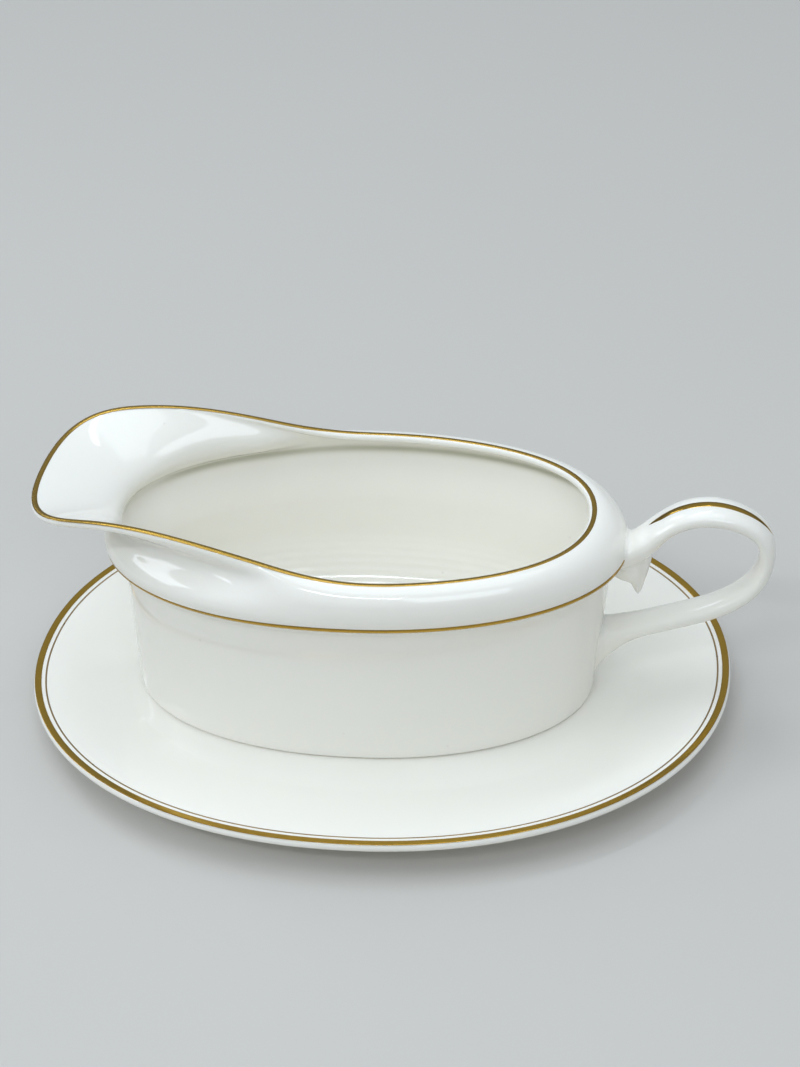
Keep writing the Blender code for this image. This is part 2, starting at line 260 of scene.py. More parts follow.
@dataclass(frozen=True)
class GlazedChina:
    """Clear glaze over bone china: mottled body, rippled glaze, small pits, rub marks, and shade
    painted along the boat's inner crease.
    """

    name: str = "glazed_bone_china"
    body: Colour = (0.955, 0.925, 0.845)
    pooled: Colour = (0.930, 0.910, 0.820)
    speck: Colour = (0.70, 0.66, 0.58)
    crease_shade_colour: Colour = (0.50, 0.49, 0.36)
    crease_shade_depth: float = 0.8
    mottle_per_metre: float = 19.0
    specks_per_metre: float = 95.0
    speck_size: float = 0.055
    speck_depth: float = 0.5
    gloss: float = 0.045
    rubbed: float = 0.10
    rub_stretch: Triple = (1.0, 2.4, 1.6)
    rub_per_metre: float = 70.0
    rub_range: Pair = (0.46, 0.72)
    ripple_height: float = 0.075 * MM
    ripple_per_metre: float = 38.0
    peel_height: float = 0.0012 * MM
    peel_per_metre: float = 900.0
    pit_height: float = 0.020 * MM
    pits_per_metre: float = 260.0
    pit_size: float = 0.05
    spots_kept: float = 0.16  # the share of cells that have a spot

    def material(self) -> bpy.types.Material:
        """Builds the material.

        Returns:
            The finished material.
        """
        material, canvas, shader = shader_canvas(self.name)
        place = canvas.node("ShaderNodeTexCoord", output="Object")
        mottle = canvas.noise(place, self.mottle_per_metre, 4.0)
        colour = canvas.mix(mottle, self.body, self.pooled)
        specks = self._spots(canvas, place, self.specks_per_metre, self.speck_size)
        colour = canvas.mix(specks * self.speck_depth, colour, self.speck)
        # Painted shade: the shadowed crease under the lip is tinted towards olive, by the mask that the
        # boat keeps on its points.
        run = canvas.node("ShaderNodeAttribute", {"attribute_name": "painted_crease_shade"}, output="Fac")
        colour = canvas.mix(run * self.crease_shade_depth, colour, self.crease_shade_colour)
        rub = canvas.noise(canvas.stretch(place, self.rub_stretch), self.rub_per_metre, 5.0)
        rub = canvas.remap(rub, *self.rub_range)
        roughness = rub * (self.rubbed - self.gloss) + self.gloss
        ripple = canvas.noise(place, self.ripple_per_metre, 1.0) * self.ripple_height
        peel = canvas.noise(place, self.peel_per_metre, 1.0) * self.peel_height
        pits = self._spots(canvas, place, self.pits_per_metre, self.pit_size) * self.pit_height
        normal = canvas.node("ShaderNodeBump", {}, {"Distance": 1.0, "Height": ripple + peel - pits})
        set_shader(
            shader,
            {
                "IOR": 1.52,
                "Subsurface Weight": 0.12,
                "Subsurface Scale": 1.6 * MM,
                "Subsurface Radius": (1.0, 0.9, 0.7),
            },
            {"Base Color": colour, "Roughness": roughness, "Normal": normal},
        )
        return material

    def _spots(self, canvas: Canvas, place: Wire, per_metre: float, size: float) -> Wire:
        """Sparse round spots, 1 at the middle of each.

        Args:
            canvas: where the nodes go.
            place: coordinates in metres.
            per_metre: how many cells in a metre.
            size: a spot's radius as a share of a cell.

        Returns:
            The spots' mask.
        """
        cells = canvas.node("ShaderNodeTexVoronoi", {}, {"Vector": place, "Scale": per_metre})
        chance = canvas.node("ShaderNodeSeparateColor", {}, {0: cells.out("Color")})
        return canvas.remap(cells, 0.0, size, falls=True) * chance.apply("LESS_THAN", self.spots_kept)


@dataclass(frozen=True)
class FiredGold:
    """Fired gold, brushed on by hand, so that its colour and gloss are streaked and clouded."""

    name: str
    bright: Colour
    deep: Colour
    worn: Colour
    gloss: float
    dull: float
    streak_stretch: Triple = (1.0, 1.0, 1.6)
    streaks_per_metre: float = 240.0
    streak_weight: float = 0.25
    clouds_per_metre: float = 55.0
    worn_range: Pair = (0.60, 0.74)
    worn_depth: float = 0.55
    grain_height: float = 0.0035 * MM
    grain_per_metre: float = 1500.0

    def material(self) -> bpy.types.Material:
        """Builds the material.

        Returns:
            The finished material.
        """
        material, canvas, shader = shader_canvas(self.name)
        place = canvas.node("ShaderNodeTexCoord", output="Object")
        streak = canvas.noise(canvas.stretch(place, self.streak_stretch), self.streaks_per_metre, 4.0)
        cloud = canvas.noise(place, self.clouds_per_metre, 3.0)
        colour = canvas.mix(streak, self.deep, self.bright)
        thin = canvas.remap(cloud, *self.worn_range)
        colour = canvas.mix(thin * self.worn_depth, colour, self.worn)
        dullness = streak * self.streak_weight + cloud * (1.0 - self.streak_weight)
        roughness = dullness * (self.dull - self.gloss) + self.gloss
        grain = canvas.noise(place, self.grain_per_metre, 2.0) * self.grain_height
        normal = canvas.node("ShaderNodeBump", {}, {"Distance": 1.0, "Height": grain})
        wires = {"Base Color": colour, "Roughness": roughness, "Normal": normal}
        set_shader(shader, {"Metallic": 1.0}, wires)
        return material


BRIGHT_GOLD = FiredGold(
    "fired_gold", (0.49, 0.305, 0.055), (0.40, 0.245, 0.04), (0.33, 0.20, 0.05), 0.07, 0.18
)
# The rim's gold: a darker, duller copy of the gold. Its darker colour is painted shade, standing in for
# the dim room that the rim mirrors.
RIM_GOLD = FiredGold(
    "fired_gold_rim_painted_shade", (0.43, 0.275, 0.06), (0.35, 0.22, 0.045), (0.30, 0.19, 0.05), 0.20, 0.34
)
THIN_GOLD = FiredGold(
    "fired_gold_thin_line", (0.46, 0.32, 0.16), (0.34, 0.23, 0.11), (0.46, 0.36, 0.27), 0.20, 0.40
)


# ---------------------------------------------------------------- outlines and meshes


@dataclass(frozen=True)
class Oval:
    """A superellipse seen from above, in metres."""

    half_length: float
    half_width: float
    power: float
    centre: float

    def plan(self) -> np.ndarray:
        """Points (x, y) from +X round through +Y."""
        angle = np.linspace(0.0, 2.0 * math.pi, SEGMENTS, endpoint=False)
        cosine, sine = np.cos(angle), np.sin(angle)
        x = self.half_length * np.sign(cosine) * np.abs(cosine) ** (2.0 / self.power)
        y = self.half_width * np.sign(sine) * np.abs(sine) ** (2.0 / self.power)
        return np.column_stack([x + self.centre, y])


def plan_normals(plan: np.ndarray) -> np.ndarray:
    """Unit vectors that point out of a closed plan, one at each point.

    Args:
        plan: its points, turning left.

    Returns:
        One row for each point.
    """
    ahead = np.roll(plan, -1, axis=0) - np.roll(plan, 1, axis=0)
    outward = np.column_stack([ahead[:, 1], -ahead[:, 0]])
    return outward / np.linalg.norm(outward, axis=1)[:, None]


def level(plan: np.ndarray, height: Any) -> np.ndarray:
    """A plan lifted to one height, or to a height at each point."""
    return np.column_stack([plan, np.broadcast_to(height, len(plan))])


def smooth_step(value: Any) -> Any:
    """0 below 0, 1 above 1, and an even S between."""
    value = np.clip(value, 0.0, 1.0)
    return value * value * (3.0 - 2.0 * value)


def bezier(points: Sequence[Any], share: Any) -> np.ndarray:
    """One point of a Bezier curve whose control points may be arrays.

    Args:
        points: its control points.
        share: how far along it, from 0 to 1, or a share for each column of the arrays.

    Returns:
        The point, of the same shape as a control point.
    """
    work = [np.asarray(point, float) for point in points]
    while len(work) > 1:
        work = [here * (1.0 - share) + after * share for here, after in zip(work, work[1:])]
    return work[0]


def spline(points: Sequence[Sequence[float]], shares: Iterable[float]) -> np.ndarray:
    """Points of a clamped uniform cubic B-spline.

    Args:
        points: its control points.
        shares: where along it, from 0 to 1.

    Returns:
        One row for each share.
    """
    control = np.asarray(points, float)
    spans = len(control) - 3
    knots = np.concatenate([np.zeros(3), np.linspace(0.0, 1.0, spans + 1), np.ones(3)])
    found = []
    for share in shares:
        span = min(int(share * spans), spans - 1) + 3
        work = [control[span - 3 + i].copy() for i in range(4)]
        for depth in range(1, 4):
            for i in range(3, depth - 1, -1):
                low = knots[span - 3 + i]
                high = knots[span + 1 + i - depth]
                part = (share - low) / (high - low)
                work[i] = (1.0 - part) * work[i - 1] + part * work[i]
        found.append(work[3])
    return np.array(found)


def put_in_scene(name: str, data: bpy.types.ID) -> bpy.types.Object:
    """A new object at the origin that holds this data."""
    item = bpy.data.objects.new(name, data)
    bpy.context.scene.collection.objects.link(item)
    return item


def link_mesh(name: str, mesh: bpy.types.Mesh) -> bpy.types.Object:
    """Puts a mesh in the scene, shaded smooth."""
    mesh.shade_smooth()
    return put_in_scene(name, mesh)


def skin(name: str, rows: Sequence[np.ndarray], poles: tuple[Triple, Triple]) -> bpy.types.Object:
    """A closed surface through rows of points, facing out.

    Args:
        name: the object's name.
        rows: rows of the same number of points.
        poles: the points that close its first and last row.

    Returns:
        The new object.
    """
    count = len(rows[0])
    points = np.vstack(rows)
    first = np.arange(count)
    after = (first + 1) % count
    faces = []
    for r in range(len(rows) - 1):
        low, high = r * count, (r + 1) * count
        faces += np.column_stack([low + first, low + after, high + after, high + first]).tolist()
    bottom, top = len(points), len(points) + 1
    last = (len(rows) - 1) * count
    faces += np.column_stack([after, first, np.full(count, bottom)]).tolist()
    faces += np.column_stack([last + first, last + after, np.full(count, top)]).tolist()
    mesh = bpy.data.meshes.new(name)
    mesh.from_pydata(np.vstack([points, poles]).tolist(), [], faces)
    face_out(mesh)
    return link_mesh(name, mesh)


def face_out(mesh: bpy.types.Mesh) -> None:
    """Turns a closed mesh's faces outward."""
    bm = bmesh.new()
    bm.from_mesh(mesh)
    if bm.calc_volume(signed=True) < 0:
        bmesh.ops.reverse_faces(bm, faces=bm.faces)
    bm.to_mesh(mesh)
    bm.free()


def evaluated_copy(item: bpy.types.Object, name: str) -> bpy.types.Object:
    """Turns an object's modifiers into a plain mesh on a new object, and removes the old one.

    Args:
        item: the object with the modifiers.
        name: the new object's name.

    Returns:
        The new object.
    """
    graph = bpy.context.evaluated_depsgraph_get()
    mesh = bpy.data.meshes.new_from_object(item.evaluated_get(graph), depsgraph=graph)
    bpy.data.objects.remove(item, do_unlink=True)
    mesh.name = name
    return link_mesh(name, mesh)


def surface_of(item: bpy.types.Object) -> BVHTree:
    """An object's faces, ready for the nearest point to be found on them."""
    mesh = item.data
    return BVHTree.FromPolygons([v.co for v in mesh.vertices], [p.vertices for p in mesh.polygons])


def dress(item: bpy.types.Object, material: bpy.types.Material) -> None:
    """Gives a mesh one material."""
    item.data.materials.clear()
    item.data.materials.append(material)


# ---------------------------------------------------------------- geometry trees


class Tree:
    """A Geometry Nodes tree with named inputs that ends in real faces with a material."""

    def __init__(self, name: str, numbers: Sequence[str], counts: Sequence[str] = ()) -> None:
        """Args:
            name: the tree's name.
            numbers: names of its float inputs.
            counts: names of its whole-number inputs.
        """
        self.group = bpy.data.node_groups.new(name, "GeometryNodeTree")
        kinds = [("Geometry", "NodeSocketGeometry")]
        kinds += [(n, "NodeSocketFloat") for n in numbers]
        kinds += [(n, "NodeSocketInt") for n in counts]
        kinds += [("Material", "NodeSocketMaterial")]
        self.keys = {
            n: self.group.interface.new_socket(n, in_out="INPUT", socket_type=kind).identifier
            for n, kind in kinds
        }
        self.group.interface.new_socket("Geometry", in_out="OUTPUT", socket_type="NodeSocketGeometry")
        self.canvas = Canvas(self.group)
        self.given = self.canvas.node("NodeGroupInput")

    def end(self, geometry: Wire) -> None:
        """Realizes the geometry, gives it its material and sends it out."""
        canvas = self.canvas
        real = canvas.node("GeometryNodeRealizeInstances", {}, {0: geometry})
        smooth = canvas.node("GeometryNodeSetShadeSmooth", {}, {0: real})
        dressed = canvas.node(
            "GeometryNodeSetMaterial", {}, {0: smooth, "Material": self.given.out("Material")}
        )
        canvas.node("NodeGroupOutput", {}, {0: dressed})

    def grow(self, item: bpy.types.Object, name: str, values: Mapping[str, Any]) -> bpy.types.Object:
        """Runs the tree on an object and keeps the result as a plain mesh.

        Args:
            item: the object whose mesh goes in.
            name: the result's name.
            values: a value for each named input.

        Returns:
            A new object that holds the result.
        """
        modifier = item.modifiers.new("tree", "NODES")
        modifier.node_group = self.group
        for key, value in values.items():
            modifier[self.keys[key]] = value
        made = evaluated_copy(item, name)
        face_out(made.data)
        return made


def oval_spinner() -> Tree:
    """A tree that spins a section round an oval.

    Its input is a line of points. Each stands for one ring: x is the ring's half length, y its
    half width and z its height. Rings of no size close the piece in the middle.

    Returns:
        The tree.
    """
    tree = Tree("oval_spinner", ("Power", "Centre"), ("Segments",))
    canvas = tree.canvas
    given = tree.given
    rings = canvas.node("GeometryNodeAttributeDomainSize", {"component": "MESH"}, {0: given})
    segments = given.out("Segments")
    grid = canvas.node("GeometryNodeMeshGrid", {}, {2: segments + 1, 3: rings})
    index = canvas.node("GeometryNodeInputIndex")
    column = (index / rings + 1e-4).apply("FLOOR")
    ring = canvas.node(
        "GeometryNodeSampleIndex",
        {"data_type": "FLOAT_VECTOR"},
        {0: given, 1: canvas.node("GeometryNodeInputPosition"), 2: index - column * rings},
    )
    size = canvas.node("ShaderNodeSeparateXYZ", {}, {0: ring})
    angle = column / segments * (2.0 * math.pi)
    share = 2.0 / given.out("Power")
    reach = []
    for turn in ("COSINE", "SINE"):
        wave = angle.apply(turn)
        reach.append(wave.apply("SIGN") * wave.apply("ABSOLUTE") ** share)
    x = reach[0] * size.out("X") + given.out("Centre")
    y = reach[1] * size.out("Y")
    place = canvas.node("ShaderNodeCombineXYZ", {}, {0: x, 1: y, 2: size.out("Z")})
    shaped = canvas.node("GeometryNodeSetPosition", {}, {0: grid, 2: place})
    tree.end(canvas.node("GeometryNodeMergeByDistance", {}, {0: shaped, "Distance": 1e-6}))
    return tree


def gilding_sweeper() -> Tree:
    """A tree that lays a thin film of gold along a path on the china.

    Its input is a line of points with the attributes "outward", the way the china faces, and
    "swell", the share of the full width. The film's section is a flat ellipse, bent round the
    radius that the china has across the path.

    Returns:
        The tree.
    """
    tree = Tree("gilding_sweeper", ("Width", "Film", "Bend Radius"), ("Section Points",))
    canvas = tree.canvas
    given = tree.given
    width, film, bend = (given.out(n) for n in ("Width", "Film", "Bend Radius"))
    attributes = {
        name: canvas.node("GeometryNodeInputNamedAttribute", {"data_type": kind}, {"Name": name})
        for name, kind in (("outward", "FLOAT_VECTOR"), ("swell", "FLOAT"))
    }
    path = canvas.node("GeometryNodeMeshToCurve", {}, {0: given})
    path = canvas.node(
        "GeometryNodeSetCurveNormal", {"mode": "FREE"}, {0: path, "Normal": attributes["outward"]}
    )
    ring = canvas.node(
        "GeometryNodeCurvePrimitiveCircle",
        {"mode": "RADIUS"},
        {"Resolution": given.out("Section Points"), "Radius": 1.0},
    )
    here = canvas.node("ShaderNodeSeparateXYZ", {}, {0: canvas.node("GeometryNodeInputPosition")})
    angle = here.out("X") * width / (bend * 2.0)
    radius = bend + here.out("Y") * film
    x, y = radius * angle.apply("COSINE") - bend, radius * angle.apply("SINE")
    section = canvas.node("ShaderNodeCombineXYZ", {}, {0: x, 1: y})
    ring = canvas.node("GeometryNodeSetPosition", {}, {0: ring, 2: section})
    inputs = {0: path, 1: ring, "Scale": attributes["swell"], "Fill Caps": True}
    tree.end(canvas.node("GeometryNodeCurveToMesh", {}, inputs))
    return tree


@dataclass(frozen=True)
class GoldPath:
    """A path on the china that gold is laid along."""

    points: np.ndarray
    outward: np.ndarray
    swell: np.ndarray
    closed: bool

    def as_object(self) -> bpy.types.Object:
        """The path as a line of edges with its attributes.

    Returns:
        A new object, which the sweeper takes in.
    """
        count = len(self.points)
        edges = [(i, i + 1) for i in range(count - 1)]
        if self.closed:
            edges.append((count - 1, 0))
        mesh = bpy.data.meshes.new("gold_path")
        mesh.from_pydata(self.points.tolist(), edges, [])
        mesh.attributes.new("outward", "FLOAT_VECTOR", "POINT").data.foreach_set(
            "vector", self.outward.astype(np.float32).ravel()
        )
        mesh.attributes.new("swell", "FLOAT", "POINT").data.foreach_set(
            "value", self.swell.astype(np.float32)
        )
        return put_in_scene("gold_path", mesh)

    @classmethod
    def along_row(cls, row: np.ndarray, across: np.ndarray) -> GoldPath:
        """A closed path along a row of the china.

        Args:
            row: the path's points.
            across: a way that lies in the china's face at each point, across the path.

        Returns:
            The path, facing away from the china.
        """
        run = np.roll(row, -1, axis=0) - np.roll(row, 1, axis=0)
        outward = np.cross(run, across)
        outward /= np.linalg.norm(outward, axis=1)[:, None]
        return cls(row, outward, np.ones(len(row)), True)


@dataclass(frozen=True)
class GoldLine:
    """How wide and thick one line of gold is, and how sharply the china bends under it."""

    name: str
    node: str
    width: float
    film: float
    bend_radius: float
    finish: FiredGold = BRIGHT_GOLD
    slot: Slot = Slot.GOLD
    section_points: int = 16


class Workshop:
    """What every part of the object shares: the trees, the finishes and the hand-over."""

    def __init__(self) -> None:
        """Builds the trees and the finishes once."""
        self.spinner = oval_spinner()
        self.sweeper = gilding_sweeper()
        self.china = GlazedChina().material()
        self.golds = {gold: gold.material() for gold in (BRIGHT_GOLD, RIM_GOLD, THIN_GOLD)}

    def hand_over(self, item: bpy.types.Object, body: Body, node: str) -> None:
        """Sets a finished piece on its body, in place of its plain solid.

        Args:
            item: the finished piece.
            body: what it moves with.
            node: the plain solid that it stands for.
        """
        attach(item, body.value)
        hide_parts(node)
        log.info("%s: %d faces on %s", item.name, len(item.data.polygons), body.value)

    def gild(self, line: GoldLine, path: GoldPath, body: Body) -> None:
        """Lays one line of gold.

        Args:
            line: its sizes and finish.
            path: where it runs.
            body: what it moves with.
        """
        values = {
            "Width": line.width,
            "Film": line.film,
            "Bend Radius": line.bend_radius,
            "Section Points": line.section_points,
            "Material": self.golds[line.finish],
        }
        made = self.sweeper.grow(path.as_object(), line.name, values)
        self.hand_over(made, body, line.node)


# ---------------------------------------------------------------- stand


@dataclass
class Stand:
    """The oval stand, with its foot ring, sloping rim and flat well."""

    half_length: float
    half_width: float
    rim_height: float
    centre: float
    power: float = 2.11
    edge_radius: float = 1.5 * MM
    edge_overhang: float = 0.3 * MM
    rim_reach: float = 30.0 * MM
    rim_straightness: float = 0.55  # 1 where the rim is a plain slope, 0 where it is an S
    well_half_width: float = 53.6 * MM
    well_height: float = 6.0 * MM
    thickness: float = 3.0 * MM
    foot_recess: float = 2.6 * MM
    foot_inset: float = 35.0 * MM
    foot_width: float = 4.0 * MM
    under_rings: int = 24
    upper_rings: int = 42
    foot_corner: tuple[Pair, ...] = ((0.6, 0.0), (-0.05, 0.15), (-0.35, 0.6), (-0.6, 1.0))
    band_inset: float = 1.2 * MM
    band_width: float = 2.1 * MM
    band_film: float = 0.16 * MM
    band_bend: float = 9.0 * MM
    line_inset: float = 3.6 * MM
    line_width: float = 0.55 * MM
    line_film: float = 0.05 * MM
    line_bend: float = 60.0 * MM

    @classmethod
    def from_frame(cls) -> Stand:
        """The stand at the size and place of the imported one."""
        low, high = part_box("stand_plate")
        overhang = cls.edge_overhang
        return cls(
            half_length=(high.x - low.x) / 2 - overhang,
            half_width=(high.y - low.y) / 2 - overhang,
            rim_height=high.z,
            centre=(high.x + low.x) / 2,
        )

    def ring(self, inset: float, height: float) -> Triple:
        """Half length, half width and height of the ring at this distance in from the edge.

    Args:
        inset: how far in from the edge.
        height: how high it lies.

    Returns:
        The three values.
    """
        narrowing = (self.half_width - self.well_half_width) / self.rim_reach
        half_length = self.half_length - inset
        return (half_length, self.half_width - narrowing * inset, height)

    def top_height(self, inset: float) -> float:
        """Height of the upper face: a gentle rise to the rim, steeper beside the well.

    Args:
        inset: how far in from the edge.

    Returns:
        The height.
    """
        share = min(max(inset / self.rim_reach, 0.0), 1.0)
        plain = self.rim_straightness
        rise = 1.0 - plain * share - (1.0 - plain) * smooth_step(share)
        return self.well_height + (self.rim_height - self.well_height) * float(rise)

    def section(self) -> list[Triple]:
        """Rings from the middle of the underside, over the edge, to the middle of the well.

    Returns:
        Half length, half width and height of each.
    """
        foot = self.foot_inset
        far = foot + self.foot_width
        recess = self.foot_recess
        rings = [(0.0, 0.0, recess)]
        narrow = self.ring(far, recess)
        for share in (0.3, 0.6, 0.85):
            rings.append((narrow[0] * share, narrow[1] * share, recess))
        for side, way in ((far, 1), (foot, -1)):
            for inset, depth in self.foot_corner[::way]:
                rings.append(self.ring(side + way * inset * MM, recess * (1.0 - depth) ** 1.5))
        for share in np.linspace(1.0, 0.08, self.under_rings):
            inset = self.rim_reach * share
            rings.append(self.ring(inset, self.top_height(inset) - self.thickness))
        middle = self.rim_height - self.edge_radius
        for turn in np.radians(np.arange(-80.0, 71.0, 10.0)):
            inset = self.edge_radius * (1.0 - math.cos(turn)) - self.edge_overhang
            rings.append(self.ring(inset, middle + self.edge_radius * math.sin(turn)))
        for inset in np.linspace(1.3 * MM, self.rim_reach, self.upper_rings):
            rings.append(self.ring(inset, self.top_height(inset)))
        edge = rings[-1]
        for share in (0.96, 0.9, 0.8, 0.65, 0.45, 0.25, 0.1, 0.0):
            rings.append((edge[0] * share, edge[1] * share, self.well_height))
        return rings

    def gold_path(self, inset: float) -> GoldPath:
        """A path round the upper face at this distance in from the edge.

    Args:
        inset: how far in from the edge.

    Returns:
        The path.
    """
        step = 0.2 * MM
        rows = []
        for place in (inset - step, inset, inset + step):
            half_length, half_width, height = self.ring(place, self.top_height(place))
            plan = Oval(half_length, half_width, self.power, self.centre).plan()
            rows.append(level(plan, height))
        return GoldPath.along_row(rows[1], rows[0] - rows[2])

    def build(self, shop: Workshop) -> None:
        """Makes the china and its two gold lines."""
        rings = self.section()
        mesh = bpy.data.meshes.new("stand_section")
        mesh.from_pydata(rings, [(i, i + 1) for i in range(len(rings) - 1)], [])
        values = {
            "Power": self.power,
            "Centre": self.centre,
            "Segments": SEGMENTS,
            "Material": shop.china,
        }
        plate = shop.spinner.grow(put_in_scene("stand_section", mesh), "china_stand", values)
        shop.hand_over(plate, Body.STAND, "stand_plate")
        band = (self.band_width, self.band_film, self.band_bend)
        line = (self.line_width, self.line_film, self.line_bend, THIN_GOLD, Slot.GOLD_LINE)
        for gold, inset in (
            (GoldLine("stand_gold_band", "stand_rim_band", *band), self.band_inset),
            (GoldLine("stand_gold_line", "stand_inner_line", *line), self.line_inset),
        ):
            shop.gild(gold, self.gold_path(inset), Body.STAND)


# ---------------------------------------------------------------- boat


@dataclass
class Boat:
    """The boat: straight wall, bulging shoulder, and a rim that climbs into the pouring lip."""

    middle: float
    foot_z: float
    set_back: float = 0.4 * MM  # how far its middle is from the stand's, towards the lip
    power: float = 2.12
    foot_size: Pair = (72.8 * MM, 41.0 * MM)
    foot_offset: float = -4.0 * MM
    foot_round: float = 1.2 * MM
    base_recess: float = 1.2 * MM
    base_ring_width: float = 3.5 * MM
    base_insets: tuple[float, ...] = (24.0 * MM, 15.0 * MM, 8.0 * MM, 5.0 * MM)
    base_corner: tuple[Pair, ...] = ((1.0, 1.0), (0.6, 0.8), (0.3, 0.3), (0.0, 0.0))
    wall_top_size: Pair = (74.6 * MM, 40.4 * MM)
    wall_top_z: float = 53.5 * MM
    shoulder_size: Pair = (79.1 * MM, 43.9 * MM)
    shoulder_offset: float = -0.4 * MM
    shoulder_z: float = 58.9 * MM
    shoulder_lean: float = 1.6 * MM
    shoulder_rise: float = 6.0 * MM
    shoulder_edge: float = 1.1 * MM
    dome_lead: float = 4.5 * MM
    dome_drop: float = 0.8 * MM
    # Where the lip's middle surface is led: in mm, out of the shoulder's plan and up.
    throat: tuple[Pair, ...] = ((2.4, 66.6), (-6.1, 66.5), (-15.4, 70.0))
    # Its last guide before the rim: each a share of the rim's reach and a shift.
    under_lip_out: Pair = (0.55, -1.7 * MM)
    under_lip_up: Pair = (0.08, -3.6 * MM)
    spout_rise: float = 9.0 * MM
    wall: float = 2.8 * MM
    lip: float = 2.4 * MM
    wall_rows: int = 26
    dome_rows: int = 46
    inner_dome_rows: int = 44
    ledge_rows: int = 40
    inner_wall_rows: int = 12
    share_step: float = 0.004  # how far apart the shares are that give the way a profile runs
    lip_share: float = 0.985  # how far up the shoulder's sides go before the lip's edge is rounded
    crease_share: float = 0.30  # of the way up the shoulder, where its inside turns back
    crease_drop: float = 0.13  # how much lower down it turns under the lip
    crease_reach: float = 1.0 * MM
    crease_bunching: float = 1.6
    # Painted shade along the inner crease: how wide it is, where it sits and how it fades towards the
    # pouring lip.
    crease_shade_spread: float = 1.25 * MM
    crease_shade_place: Pair = (-0.2 * MM, -0.6 * MM)
    crease_shade_fade: float = 0.7
    crease_shade_fade_reach: float = 16.0 * MM
    ledge_share: float = 0.86  # of the way up the wall, where its inside starts to lean in
    ledge_height: float = 9.5 * MM
    ledge_inset: float = 1.1 * MM
    floor_rise: float = 4.0 * MM
    floor_radius: float = 24.0 * MM
    ring_height: float = 0.12 * MM
    ring_pitch: float = 2.7 * MM
    ring_middle: float = 12.0 * MM
    ring_spread: float = 6.0 * MM
    rim_gold_width: float = 1.75 * MM
    rim_gold_film: float = 0.13 * MM
    rim_gold_bend: float = 2.2 * MM
    rim_gold_shift: float = 0.45 * MM  # how far out of the lip's edge it lies, where the rim is flat
    rim_gold_lift: float = 0.02 * MM
    rim_flat_power: int = 6  # how flat the rim has to be there
    shoulder_gold_width: float = 1.7 * MM
    shoulder_gold_film: float = 0.2 * MM
    shoulder_gold_bend: float = 4.0 * MM
    shoulder_gold_rise: float = 0.75 * MM
    rim_points: tuple[Triple, ...] = (
        (68.6, 0.0, 71.3),
        (68.6, 23.9, 71.3),
        (15.6, 40.4, 71.2),
        (-12.7, 35.2, 71.5),
        (-43.2, 33.5, 81.1),
        (-74.1, 30.2, 86.6),
        (-97.2, 27.6, 81.9),
        (-97.2, 0.0, 81.9),
    )

    @classmethod
    def from_frame(cls, stand: Stand) -> Boat:
        """The boat on its stand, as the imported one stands.

        Args:
            stand: the stand, whose middle the boat's sizes are taken from.

        Returns:
            The boat.
        """
        low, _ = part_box("boat_body")
        return cls(middle=stand.centre - cls.set_back, foot_z=low.z)

    def __post_init__(self) -> None:
        """Works out the plans, where the rim lies over the shoulder, and what joins the two."""
        self.foot = self._oval(self.foot_size, self.foot_offset)
        self.wall_top = self._oval(self.wall_top_size, self.shoulder_offset)
        self.shoulder = self._oval(self.shoulder_size, self.shoulder_offset)
        self.normals = plan_normals(self.shoulder)
        self.reach, self.rim_height = self._rim_over_shoulder()
        climb = self.rim_height - self.rim_points[0][2] * MM
        self.spout = smooth_step(climb / self.spout_rise)  # 1 where the shoulder runs into the lip
        self.control = self._shape_profile()
        self.crease = self.crease_share - self.crease_drop * self.spout

    def _oval(self, size: Sequence[float], offset: float) -> np.ndarray:
        """Plan of one of the boat's ovals."""
        return Oval(size[0], size[1], self.power, self.middle + offset).plan()

    def _rim_over_shoulder(self) -> tuple[np.ndarray, np.ndarray]:
        """How far out of the shoulder's plan the rim is, and its height, at each segment.

    Returns:
        The two arrays.
    """
        nearby = 30 * MM
        half = spline(self.rim_points, np.linspace(0.0, 1.0, 1500)) * MM
        half[:, 0] += self.middle
        around = np.vstack([half, (half[::-1] * np.array([1.0, -1.0, 1.0]))[1:-1]])
        reach, height = [], []
        for point, normal in zip(self.shoulder, self.normals):
            away = around[:, :2] - point
            along = away @ normal
            aside = away @ np.array([-normal[1], normal[0]])
            crossing = (np.abs(along) < nearby) & (aside <= 0) & (np.roll(aside, -1) > 0)
            found = int(np.flatnonzero(crossing)[0])
            after = (found + 1) % len(around)
            part = -aside[found] / (aside[after] - aside[found])
            reach.append(along[found] * (1 - part) + along[after] * part)
            height.append(around[found, 2] * (1 - part) + around[after, 2] * part)
        return np.array(reach), np.array(height)

    def _shape_profile(self) -> list[np.ndarray]:
        """Control points of the middle surface from the shoulder to the rim, at each segment.

        Over the bowl it is a plain dome. Where the rim climbs, it bulges, turns back to a throat
        and leans out into the lip.
        """
        base = np.zeros(SEGMENTS)
        start = np.array([base - self.lip / 2, base + self.shoulder_z])
        lean = start + np.array([[self.shoulder_lean], [self.shoulder_rise]])
        dome = np.array([self.reach + self.dome_lead, self.rim_height - self.dome_drop])
        end = np.array([self.reach, self.rim_height - self.lip / 2])
        plain = (
            start,
            (2 * start + 3 * lean) / 5,
            (start + 6 * lean + 3 * dome) / 10,
            (3 * lean + 6 * dome + end) / 10,
            (3 * dome + 2 * end) / 5,
            end,
        )
        throat = [np.array([base + out * MM, base + up * MM]) for out, up in self.throat]
        (out, out_shift), (up, up_shift) = self.under_lip_out, self.under_lip_up
        last = np.array([self.reach * out + out_shift, end[1] + up_shift + self.reach * up])
        poured = (start, *throat, last, end)
        return [a * (1 - self.spout) + b * self.spout for a, b in zip(plain, poured)]

    def profile(self, share: Any) -> np.ndarray:
        """Middle surface from the shoulder to the rim, as (out, up) at each segment."""
        return bezier(self.control, share)

    def place(self, flat: np.ndarray) -> np.ndarray:
        """Points at these (out, up) values, one at each segment."""
        return level(self.shoulder + self.normals * flat[0][:, None], flat[1])

